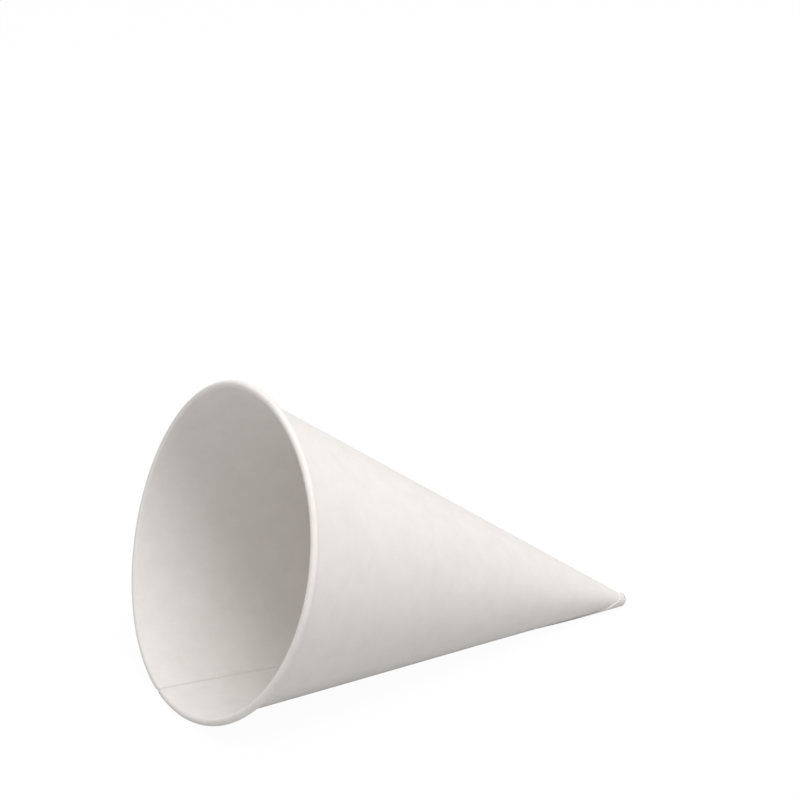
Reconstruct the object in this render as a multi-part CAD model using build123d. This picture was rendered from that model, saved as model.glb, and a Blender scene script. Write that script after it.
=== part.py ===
from build123d import *

import os
from math import asin, atan, cos, degrees, hypot, pi, radians, sin, tan

# Cone paper cup with a rolled rim, lying on its side.
#
# One sheet of paper is wound into a cone, lapped and glued along one side, closed at the tip by its
# own turns, and rolled outwards at the mouth. Millimetres, +Z up. The cup lies with its mouth
# towards -X and its tip towards +X, and the seam underneath.
#
# In the cup's own frame, which is used until the last step, the tip is down and the axis is Z.
# "side" is a length measured up the slope of the wall, from the point where the inner faces would
# meet. "lift" is the height above the inner face of the wall. "turn" is the angle about the axis,
# from the cup's lowest line when it lies.

# The mouth is a little flattened, as a thin cup is once it has been nested, packed and handled.
mouth_width = 73.6          # over the roll, from side to side
mouth_height = 66.4         # over the roll, square to the width
side_length = 106.6         # up the wall, from where its inner faces would meet to the top of the roll

paper = 0.30                # thickness of the sheet
roll_diameter = 1.6         # outside of the rolled rim
roll_gap = 0.25             # between the curled edge and the wall, along the normal

seam_overlap = 9.0          # width of the glued lap at the mouth
seam_ramp = 2.4             # width at the mouth over which the sheet climbs onto its first edge
flap_edge_offset = 2.7      # how far the straight edge of the outer flap passes from the axis
seam_turn = 5.0             # degrees from the lowest line of the cup to the flap's edge at the mouth

nose_radius = 0.85          # the tight first turns, where they come out as a blunt tip
outer_turn_setback = 0.6    # from the widest part of that nose back to where the outer turn starts
tip_fill = 4.0              # height up to which the turns close the inside of the tip
flap_start = 4.5            # side at which the outer flap starts
flap_curl_setback = 12.0    # degrees by which the flap's layer stops short inside the curl

tool_margin = 1.0           # how far a cutting tool stands clear of what it cuts
feather = 0.9               # share of the paper at which a ramp starts, just under the surface
around = 24                 # sections in a full turn

# ---------------------------------------------------------------- worked out from the sizes above

roll_radius = roll_diameter / 2
roll_side = side_length - roll_radius          # side at which the centre of the roll lies


def slope_for(width):
    """Angle between axis and wall that gives the roll this outside width."""
    return asin((width / 2 - roll_radius) / hypot(roll_side, roll_radius)) - atan(roll_radius / roll_side)


slope_low = slope_for(mouth_height)            # at the seam and opposite it
slope_wide = slope_for(mouth_width)            # a quarter turn from the seam
slope_mean = (slope_low + slope_wide) / 2
mouth_radius = roll_side * sin(slope_mean)


def slope(turn):
    """Slope of the wall at a turn. Every line up the wall keeps its length as the cone flattens."""
    return slope_mean + (slope_low - slope_wide) / 2 * cos(2 * turn)


def wall_plane(turn):
    """Plane through the axis at a turn: x runs up the wall's inner face, y stands out from it."""
    lean = slope(turn)
    up = Vector(sin(lean) * cos(turn), sin(lean) * sin(turn), cos(lean))
    out = Vector(cos(lean) * cos(turn), cos(lean) * sin(turn), -sin(lean))
    return Plane(origin=(0, 0, 0), x_dir=up, z_dir=up.cross(out))


# Degrees round the curl, from straight up the side, at which the sheet's edge stops.
curl_end = 180 + degrees(asin((roll_radius - paper - roll_gap) / roll_radius))


def sheet_section(start, inner, outer, curl_stop):
    """Outline of the sheet between two lifts, from a side up the wall and round the open curl."""
    centre = (roll_side, roll_radius)
    sweep = curl_stop + 90
    outside, inside = roll_radius - inner, roll_radius - outer
    end = Vector(cos(radians(curl_stop)), sin(radians(curl_stop)))
    edges = [
        Line((start, inner), (roll_side, inner)),
        CenterArc(centre, outside, -90, sweep),
        Line(Vector(*centre) + end * outside, Vector(*centre) + end * inside),
        CenterArc(centre, inside, -90, sweep),
        Line((roll_side, outer), (start, outer)),
        Line((start, outer), (start, inner)),
    ]
    return Wire([piece.edge() for piece in edges])


def strip_section(start, end, inner, outer):
    """Rectangle between two sides and two lifts."""
    return Wire.make_polygon([(start, inner), (end, inner), (end, outer), (start, outer)], close=True)


# ---------------------------------------------------------------- the wall and its rolled rim

nose_apex = -paper / 2 / sin(slope_mean)       # tip of a cone that runs down the middle of the sheet
nose_centre = nose_apex + nose_radius / sin(slope_mean)
nose_widest = nose_centre - nose_radius * sin(slope_mean)
wall_start = nose_widest / cos(slope_mean) + outer_turn_setback


def make_wall():
    """One layer of the sheet, all the way round."""
    outline = sheet_section(wall_start, 0, paper, curl_end)
    rings = [wall_plane(2 * pi * step / around).location * outline for step in range(around)]
    return Solid.make_loft(rings + rings[:1])


# ---------------------------------------------------------------- the closed tip

def make_nose():
    """The innermost turns: a blunt end outside, and the floor of the hollow inside."""
    widest = (nose_radius * cos(slope_mean), nose_widest)
    floor_radius = (tip_fill - nose_apex) * tan(slope_mean)
    with BuildPart() as nose:
        with BuildSketch(Plane.XZ):
            with BuildLine():
                RadiusArc((0, nose_centre - nose_radius), widest, -nose_radius)
                Polyline(widest, (floor_radius, tip_fill), (0, tip_fill), (0, nose_centre - nose_radius))
            make_face()
        revolve(axis=Axis.Z)
    return nose.part.solid()


# ---------------------------------------------------------------- the seam

edge_turn = radians(seam_turn)
lap_turn = seam_overlap / mouth_radius
ramp_turn = seam_ramp / mouth_radius
first_edge = edge_turn - lap_turn              # turn of the sheet's first edge, inside the cup
flap_turns = 8                                 # sections across the outer flap
ramp_turns = 3                                 # sections across a ramp


def ramp(step):
    """Share of a ramp that is climbed at a step, smooth at both ends."""
    share = step / ramp_turns
    return share * share * (3 - 2 * share)


def flap_section(lift):
    """The flap's layer. It starts in the middle of the layer under it, to which it is glued."""
    return sheet_section(flap_start, paper / 2, lift, curl_end - flap_curl_setback)


def make_flap():
    """The second layer outside. It climbs over the first edge and ends at a straight cut edge."""
    lowest, highest = feather * paper, 2 * paper
    sections = []
    for step in range(ramp_turns):
        turn = first_edge - ramp_turn * (1 - step / ramp_turns)
        lift = lowest + (highest - lowest) * ramp(step)
        sections.append(wall_plane(turn).location * flap_section(lift))
    # The edge runs straight past the axis, so towards the tip it lies further round the cup.
    last_turn = edge_turn + pi / 3
    for step in range(flap_turns + 1):
        turn = first_edge + (last_turn - first_edge) * step / flap_turns
        sections.append(wall_plane(turn).location * flap_section(highest))
    layer = Solid.make_loft(sections)
    reach = side_length * 2
    at_mouth = edge_turn - asin(flap_edge_offset / mouth_radius)
    past_edge = Box(reach, reach, reach, align=(Align.CENTER, Align.MIN, Align.CENTER))
    return layer - Rot(0, 0, degrees(at_mouth)) * Pos(0, flap_edge_offset, 0) * past_edge


def make_inner_step():
    """What the inner face lacks beside the sheet's first edge, where the sheet lifts to pass over."""
    start = tip_fill / cos(slope_mean) + tool_margin
    sections = []
    for step in range(ramp_turns + 1):
        turn = first_edge - ramp_turn * (1 - step / ramp_turns)
        lift = (feather - 1) * paper + (2 - feather) * paper * ramp(step)
        outline = strip_section(start, roll_side, -tool_margin, lift)
        sections.append(wall_plane(turn).location * outline)
    return Solid.make_loft(sections)


# ---------------------------------------------------------------- one sheet, laid on its side

def make_cup():
    return make_wall() + make_nose() + make_flap() - make_inner_step()


def lay_down(cup):
    """Turn the cup onto its side, resting on the roll and on the lower end of the flap."""
    run = roll_side - flap_start
    drop = roll_radius - 2 * paper
    rise = slope_low + atan(drop / run) + asin(roll_radius / hypot(run, drop))
    lying = Rot(0, 0, 180) * Rot(0, 90 - degrees(rise), 0) * cup
    box = lying.bounding_box()
    return Pos(-box.center().X, -box.center().Y, -box.min.Z) * lying


cup = lay_down(make_cup())
cup.label = "cup"

os.makedirs("parts", exist_ok=True)
export_step(cup, "parts/cup.step")
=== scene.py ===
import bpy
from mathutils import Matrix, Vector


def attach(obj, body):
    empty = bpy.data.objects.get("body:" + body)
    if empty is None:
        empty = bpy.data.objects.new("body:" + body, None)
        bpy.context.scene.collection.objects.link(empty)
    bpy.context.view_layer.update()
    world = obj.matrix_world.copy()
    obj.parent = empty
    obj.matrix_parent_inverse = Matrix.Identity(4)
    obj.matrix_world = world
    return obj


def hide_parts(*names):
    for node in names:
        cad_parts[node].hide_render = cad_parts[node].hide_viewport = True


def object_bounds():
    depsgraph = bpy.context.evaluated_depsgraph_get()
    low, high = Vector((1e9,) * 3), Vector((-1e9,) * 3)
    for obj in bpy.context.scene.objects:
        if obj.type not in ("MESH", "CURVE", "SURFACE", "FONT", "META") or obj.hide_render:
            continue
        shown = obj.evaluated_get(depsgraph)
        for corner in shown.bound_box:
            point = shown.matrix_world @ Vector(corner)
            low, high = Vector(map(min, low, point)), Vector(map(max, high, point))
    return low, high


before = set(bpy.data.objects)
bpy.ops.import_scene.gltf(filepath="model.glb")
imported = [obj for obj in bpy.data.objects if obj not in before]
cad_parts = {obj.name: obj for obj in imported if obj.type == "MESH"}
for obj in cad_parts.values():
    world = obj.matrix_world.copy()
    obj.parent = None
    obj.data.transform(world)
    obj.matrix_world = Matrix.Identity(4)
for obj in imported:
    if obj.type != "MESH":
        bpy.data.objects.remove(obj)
cad_box = [list(corner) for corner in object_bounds()]

from math import asin, atan, cos, hypot, pi, radians, sin, tan

import bmesh
import bpy
from mathutils import Euler, Matrix, Vector


# ---- The paper -------------------------------------------------------------------------------
# Uncoated bleached paper, warm white and matt. Its fibres lie in soft clouds, with a fine felt
# on the surface.

MM = 0.001
SHADED_TONE = (0.790, 0.752, 0.722, 1.0)
LIGHT_TONE = (0.850, 0.816, 0.786, 1.0)
BROAD_SCALE, CLOUD_SCALE, FELT_SCALE = 45.0, 260.0, 2600.0
BROAD_SHARE, CLOUD_SHARE, FELT_SHARE = 0.20, 0.55, 0.25
FELT_DEPTH = 0.06 * MM
LEAST_ROUGH, ROUGH_SPREAD = 0.74, 0.12


class Link:
    """A node's output socket, with arithmetic that adds the Math nodes it needs."""

    def __init__(self, tree, socket):
        self.tree = tree
        self.socket = socket

    def math(self, operation, *values):
        return add_node(self.tree, "ShaderNodeMath", {"operation": operation}, *values)

    def __add__(self, other):
        return self.math("ADD", self, other)

    def __sub__(self, other):
        return self.math("SUBTRACT", self, other)

    def __mul__(self, other):
        return self.math("MULTIPLY", self, other)

    def __truediv__(self, other):
        return self.math("DIVIDE", self, other)

    def __rsub__(self, other):
        return self.math("SUBTRACT", other, self)

    def __rtruediv__(self, other):
        return self.math("DIVIDE", other, self)

    def __pow__(self, other):
        return self.math("POWER", self, other)

    def sine(self):
        return self.math("SINE", self)

    def cosine(self):
        return self.math("COSINE", self)

    def arcsine(self):
        return self.math("ARCSINE", self)

    def most(self, other):
        return self.math("MINIMUM", self, other)

    def least(self, other):
        return self.math("MAXIMUM", self, other)

    def between(self, low, high):
        """How far this has climbed from low to high, held to 0 and 1."""
        return ((self - low) / (high - low)).least(0.0).most(1.0)

    def smooth(self):
        """The same climb, flat at both ends."""
        return self * self * (3.0 - self * 2.0)

    __radd__ = __add__


def add_node(tree, kind, settings, *values, output=0, **named):
    """Add a node, with its settings first and then its sockets, by order or by name."""
    node = tree.nodes.new(kind)
    for name, value in settings.items():
        setattr(node, name, value)
    slots = list(zip(node.inputs, values))
    slots += [(node.inputs[name.replace("_", " ")], value) for name, value in named.items()]
    for slot, value in slots:
        if isinstance(value, Link):
            tree.links.new(value.socket, slot)
        else:
            slot.default_value = value
    return Link(tree, node.outputs[output]) if len(node.outputs) else node


def make_paper():
    material = bpy.data.materials.new("cup_paper")
    material.use_nodes = True
    tree = material.node_tree
    tree.nodes.clear()
    place = add_node(tree, "ShaderNodeTexCoord", {}, output="Object")
    clouds = add_node(tree, "ShaderNodeTexNoise", {}, Vector=place, Scale=CLOUD_SCALE, Detail=4.0,
                      Roughness=0.6)
    felt = add_node(tree, "ShaderNodeTexNoise", {}, Vector=place, Scale=FELT_SCALE, Detail=5.0,
                    Roughness=0.65, Distortion=0.6)
    broad = add_node(tree, "ShaderNodeTexNoise", {}, Vector=place, Scale=BROAD_SCALE, Detail=2.0)
    tone = (clouds * CLOUD_SHARE + felt * FELT_SHARE + broad * BROAD_SHARE).between(0.32, 0.68)
    colour = add_node(tree, "ShaderNodeMix", {"data_type": "RGBA"}, output=2)
    mix = colour.socket.node
    mix.inputs[6].default_value = SHADED_TONE
    mix.inputs[7].default_value = LIGHT_TONE
    tree.links.new(tone.socket, mix.inputs[0])
    bump = add_node(tree, "ShaderNodeBump", {}, Strength=0.35, Distance=FELT_DEPTH,
                    Height=felt * 0.7 + clouds * 0.3)
    shader = add_node(tree, "ShaderNodeBsdfPrincipled", {}, Base_Color=colour,
                      Roughness=LEAST_ROUGH + tone * ROUGH_SPREAD, Normal=bump)
    shader.socket.node.inputs["Specular IOR Level"].default_value = 0.30
    add_node(tree, "ShaderNodeOutputMaterial", {}, Surface=shader)
    return material


cup_paper = make_paper()


# ---- The sheet -------------------------------------------------------------------------------
# One sheet of paper, wound into a cone, glued where it laps itself and rolled outwards at the
# mouth. Its outer edge runs straight past the tip, so it winds round the last few millimetres.
# The mouth is a little flattened, and every line up the wall keeps its length.

MOUTH_WIDTH = 73.6 * MM
MOUTH_HEIGHT = 66.4 * MM
SIDE = 106.6 * MM                   # up the wall to the top of the roll
PAPER = 0.29 * MM
PAPER_GAP = 0.02 * MM               # glue between the two layers of the lap
ROLL = 0.8 * MM                     # radius of the rolled rim
CURL_SWEEP = radians(287)
LAP = 9.0 * MM
RAMP = 2.4 * MM                     # where the sheet climbs onto its own first edge
FLAP_OFFSET = 2.7 * MM              # distance by which the outer edge misses the tip
FLAP_EDGE_TURN = radians(5)         # turn of that edge at the mouth, from the lowest line
WALL_START = 2.7 * MM
WAVE = 0.05 * MM                    # shallow waves in the wall
KNOCK = 0.35 * MM                   # one small knock on the roll
KNOCK_TURN = radians(173)

roll_side = SIDE - ROLL


def slope_for(width):
    return asin((width / 2 - ROLL) / hypot(roll_side, ROLL)) - atan(ROLL / roll_side)


slope_low = slope_for(MOUTH_HEIGHT)
slope_wide = slope_for(MOUTH_WIDTH)
slope_mean = (slope_low + slope_wide) / 2
mouth_radius = roll_side * sin(slope_mean)
lap_turn = LAP / mouth_radius
ramp_turn = RAMP / mouth_radius
first_edge_turn = FLAP_EDGE_TURN - lap_turn

# The cup lies on its roll and on the lower end of the outer flap, 4.5 mm up from the tip.
FLAP_REST = 4.5 * MM
FLAP_LIFT = 0.6 * MM
rest_run = roll_side - FLAP_REST
rest_drop = ROLL - FLAP_LIFT
rise = slope_low + atan(rest_drop / rest_run) + asin(ROLL / hypot(rest_run, rest_drop))
turn_over = Euler((0.0, pi / 2 - rise, pi)).to_matrix()

NOSE_RADIUS = 0.85 * MM
NOSE_LIFT = 0.15 * MM               # lift of the turns over the wall's inner face
nose_apex = -NOSE_LIFT / sin(slope_mean)
nose_centre = nose_apex + NOSE_RADIUS / sin(slope_mean)
nose_end = turn_over @ Vector((0.0, 0.0, nose_centre))
flap_rest = turn_over @ Vector((FLAP_REST * sin(slope_low) + FLAP_LIFT * cos(slope_low), 0.0,
                                FLAP_REST * cos(slope_low) - FLAP_LIFT * sin(slope_low)))
lay_at = Vector((cad_box[1][0] - nose_end.x - NOSE_RADIUS, 0.0, -flap_rest.z))


def float_input(tree, name, value):
    socket = tree.interface.new_socket(name, in_out="INPUT", socket_type="NodeSocketFloat")
    socket.default_value = value
    return socket.identifier


def sheet_tree(sizes, columns, rows):
    """Geometry nodes for the middle of the sheet: across it u, from the tip to the curl's edge v."""
    tree = bpy.data.node_groups.new("wound sheet", "GeometryNodeTree")
    tree.interface.new_socket("Geometry", in_out="OUTPUT", socket_type="NodeSocketGeometry")
    keys = {name: float_input(tree, name, value) for name, value in sizes.items()}
    group = tree.nodes.new("NodeGroupInput")
    size = {name: Link(tree, group.outputs[index]) for index, name in enumerate(sizes)}

    grid = add_node(tree, "GeometryNodeMeshGrid", {}, 1.0, 1.0, columns, rows)
    here = add_node(tree, "GeometryNodeInputPosition", {})
    split = tree.nodes.new("ShaderNodeSeparateXYZ")
    tree.links.new(here.socket, split.inputs[0])
    u = Link(tree, split.outputs[0]) + 0.5
    v = Link(tree, split.outputs[1]) + 0.5

    # Up the wall, then round the curl.
    wall_share = 0.70               # share of the rows that the wall gets
    crowding = 1.25                 # packs the rows towards the tip
    up = size["Start"] + (size["Side"] - size["Start"]) * (v.between(0.0, wall_share) ** crowding)
    curl = v.between(wall_share, 1.0) * size["Curl"] - pi / 2

    # Once round, up the ramp, and on over the first edge to the flap's straight edge.
    once, over = 0.865, 0.895       # shares of the columns at which the ramp starts and ends
    mouth_edge = (size["Offset"] / size["Side"]).arcsine()
    clear = 1.05                    # keeps the arcsine's value under 1 beside the tip
    beside = (size["Offset"] / up.least(size["Offset"] * clear)).arcsine() - mouth_edge
    tail = size["Lap"] + beside / size["Slope"].sine()
    climb = u.between(once, over)
    wound = (2 * pi - size["Ramp"]) * u.between(0.0, once) + size["Ramp"] * climb
    wound = wound + tail * u.between(over, 1.0)
    turn = wound + size["First edge"]
    lift = size["Paper"] * 0.5 + (size["Paper"] + size["Gap"]) * climb.smooth()

    # Distance up the slope and height above the inner face.
    reach = size["Roll"] - lift
    side = up + reach * curl.cosine()
    height = size["Roll"] + reach * curl.sine()
    lean = size["Slope"] - size["Flat"] * (turn * 2.0).cosine()

    # The paper is never quite even: long shallow waves, and one small knock on the roll.
    long_wave = (turn * 5.0 + up * 38.0).sine()
    short_wave = (turn * 9.0 - up * 61.0).sine()
    wave = long_wave * 0.6 + short_wave * 0.4
    body = up.between(12 * MM, 40 * MM) * (1.0 - up.between(85 * MM, 104 * MM))
    height = height + wave * body * size["Wave"]
    knock_width = 0.045             # radians
    away = (turn - size["Knock turn"]) / knock_width
    knock = 1.0 / (1.0 + away * away)
    near_roll = up.between(90 * MM, 105.5 * MM).smooth()
    side = side - knock * size["Knock"] * near_roll

    out = side * lean.sine() + height * lean.cosine()
    along = side * lean.cosine() - height * lean.sine()
    spot = add_node(tree, "ShaderNodeCombineXYZ", {}, out * turn.cosine(), out * turn.sine(), along)
    moved = add_node(tree, "GeometryNodeSetPosition", {}, Geometry=grid, Position=spot)
    laid = add_node(tree, "GeometryNodeTransform", {}, Geometry=moved)
    laid.socket.node.inputs["Rotation"].default_value = (0.0, pi / 2 - rise, pi)
    laid.socket.node.inputs["Translation"].default_value = lay_at
    smooth = add_node(tree, "GeometryNodeSetShadeSmooth", {}, Geometry=laid)
    real = add_node(tree, "GeometryNodeRealizeInstances", {}, Geometry=smooth)
    done = add_node(tree, "GeometryNodeSetMaterial", {}, Geometry=real, Material=cup_paper)
    result = tree.nodes.new("NodeGroupOutput")
    tree.links.new(done.socket, result.inputs[0])
    return tree, keys


def make_sheet():
    sizes = {
        "Side": roll_side, "Start": WALL_START, "Roll": ROLL, "Curl": CURL_SWEEP, "Paper": PAPER,
        "Gap": PAPER_GAP, "Lap": lap_turn, "Ramp": ramp_turn, "First edge": first_edge_turn,
        "Offset": FLAP_OFFSET, "Slope": slope_mean, "Flat": (slope_wide - slope_low) / 2,
        "Wave": WAVE, "Knock": KNOCK, "Knock turn": KNOCK_TURN,
    }
    tree, keys = sheet_tree(sizes, columns=330, rows=135)
    holder = bpy.data.objects.new("holder", bpy.data.meshes.new("holder"))
    bpy.context.collection.objects.link(holder)
    modifier = holder.modifiers.new("sheet", "NODES")
    modifier.node_group = tree
    for name, key in keys.items():
        modifier[key] = sizes[name]
    seen = holder.evaluated_get(bpy.context.evaluated_depsgraph_get())
    mesh = bpy.data.meshes.new_from_object(seen)
    bpy.data.objects.remove(holder)
    sheet = bpy.data.objects.new("wound_sheet", mesh)
    bpy.context.collection.objects.link(sheet)
    thick = sheet.modifiers.new("paper", "SOLIDIFY")
    thick.thickness = PAPER
    thick.offset = 0.0
    return sheet


sheet = make_sheet()
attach(sheet, "root")
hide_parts("cup")


# ---- The tip ---------------------------------------------------------------------------------
# The first turns of the sheet, wound so tight that they close the cone. They come out as a blunt,
# slightly pinched end, and inside they make the small floor of the hollow.

def make_nose():
    around, dome = 64, 10
    tip_fill = 4.0 * MM
    pinch = 0.05 * MM
    profile = []
    for step in range(1, dome + 1):
        angle = (pi / 2 - slope_mean) * step / dome
        profile.append((NOSE_RADIUS * sin(angle), nose_centre - NOSE_RADIUS * cos(angle)))
    dome_top = profile[-1][1]
    for share in (0.25, 0.5, 0.75, 1.0):
        height = dome_top + (tip_fill - dome_top) * share
        profile.append(((height - nose_apex) * tan(slope_mean), height))
    shape = bmesh.new()
    first = shape.verts.new((0.0, 0.0, nose_centre - NOSE_RADIUS))
    last = shape.verts.new((0.0, 0.0, tip_fill))
    rings = []
    for radius, height in profile:
        ring = []
        for index in range(around):
            turn = 2 * pi * index / around
            wound = pinch * (index / around) + pinch * 0.5 * (1 + cos(3 * turn))
            near = max(radius - wound * min(1.0, radius / NOSE_RADIUS), radius * 0.5)
            ring.append(shape.verts.new((near * cos(turn), near * sin(turn), height)))
        rings.append(ring)
    for index in range(around):
        after = (index + 1) % around
        shape.faces.new((first, rings[0][after], rings[0][index]))
        for low, high in zip(rings, rings[1:]):
            shape.faces.new((low[index], low[after], high[after], high[index]))
        shape.faces.new((rings[-1][index], rings[-1][after], last))
    bmesh.ops.transform(shape, matrix=Matrix.Translation(lay_at) @ turn_over.to_4x4(),
                        verts=shape.verts)
    bmesh.ops.recalc_face_normals(shape, faces=shape.faces)
    mesh = bpy.data.meshes.new("nose")
    shape.to_mesh(mesh)
    shape.free()
    for face in mesh.polygons:
        face.use_smooth = True
    mesh.materials.append(cup_paper)
    nose = bpy.data.objects.new("tip_turns", mesh)
    bpy.context.collection.objects.link(nose)
    return nose


nose = make_nose()
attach(nose, "root")
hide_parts("cup")


# ---- The floor and the light -----------------------------------------------------------------
# A plain white surface that the cup lies on. One large soft lamp stands high in front, a weak one
# on the mouth's side, and an even white sky fills the rest.

FLOOR_GREY = 0.60                   # what the floor throws back onto the cup
FLOOR_GLOW = 1.035                  # how white the floor looks
FLOOR_GLOW_SHARE = 0.93             # the rest shows the cup's shadow
SKY_STRENGTH = 0.42


def make_floor():
    material = bpy.data.materials.new("floor")
    material.use_nodes = True
    tree = material.node_tree
    tree.nodes.clear()
    path = tree.nodes.new("ShaderNodeLightPath")
    seen = Link(tree, path.outputs["Is Camera Ray"])
    plain = add_node(tree, "ShaderNodeBsdfDiffuse", {}, Color=(FLOOR_GREY,) * 3 + (1.0,))
    white = add_node(tree, "ShaderNodeEmission", {}, Color=(1.0, 1.0, 1.0, 1.0),
                     Strength=FLOOR_GLOW)
    both = add_node(tree, "ShaderNodeMixShader", {}, seen * FLOOR_GLOW_SHARE, plain, white)
    add_node(tree, "ShaderNodeOutputMaterial", {}, Surface=both)
    bpy.ops.mesh.primitive_plane_add(size=6.0, location=(0.0, 0.0, 0.0))
    floor = bpy.context.object
    floor.name = "floor"
    floor.data.materials.append(material)
    return floor


make_floor()


def make_sky():
    world = bpy.data.worlds.new("sky")
    bpy.context.scene.world = world
    world.use_nodes = True
    tree = world.node_tree
    tree.nodes.clear()
    path = tree.nodes.new("ShaderNodeLightPath")
    seen = Link(tree, path.outputs["Is Camera Ray"])
    glow = add_node(tree, "ShaderNodeBackground", {}, Color=(1.0, 1.0, 1.0, 1.0),
                    Strength=seen.least(SKY_STRENGTH))
    add_node(tree, "ShaderNodeOutputWorld", {}, Surface=glow)


def make_lamp(name, place, size, power):
    light = bpy.data.lights.new(name, "AREA")
    light.shape = "DISK"
    light.size = size
    light.energy = power
    lamp = bpy.data.objects.new(name, light)
    lamp.location = place
    lamp.rotation_euler = (-Vector(place)).to_track_quat("-Z", "Y").to_euler()
    bpy.context.collection.objects.link(lamp)


make_sky()
make_lamp("key", place=(0.12, -0.35, 1.0), size=0.8, power=8.8)
make_lamp("fill", place=(-0.80, -0.05, 0.85), size=0.6, power=1.8)


# ---- The camera ------------------------------------------------------------------------------
# A long lens that looks down a little on the cup, from the side of its mouth.

MOUTH_SIDE_TURN = radians(28)       # how far the camera stands round towards the mouth
LOOK_DOWN = radians(20.7)
LENS = 135.0
CAMERA_FROM_APEX = Vector((-0.04886, -0.58058, 0.26468))     # before that turn
camera_data = bpy.data.cameras.new("camera")
camera_data.lens = LENS
camera_data.clip_end = 20.0
camera = bpy.data.objects.new("camera", camera_data)
bpy.context.collection.objects.link(camera)
from_apex = Matrix.Rotation(-MOUTH_SIDE_TURN, 3, "Z") @ CAMERA_FROM_APEX
apex = Vector((lay_at.x, 0.0, ROLL))
camera.location = apex + from_apex
camera.rotation_euler = (pi / 2 - LOOK_DOWN, 0.0, -MOUTH_SIDE_TURN)
bpy.context.scene.camera = camera
bpy.context.scene.view_settings.view_transform = "Standard"
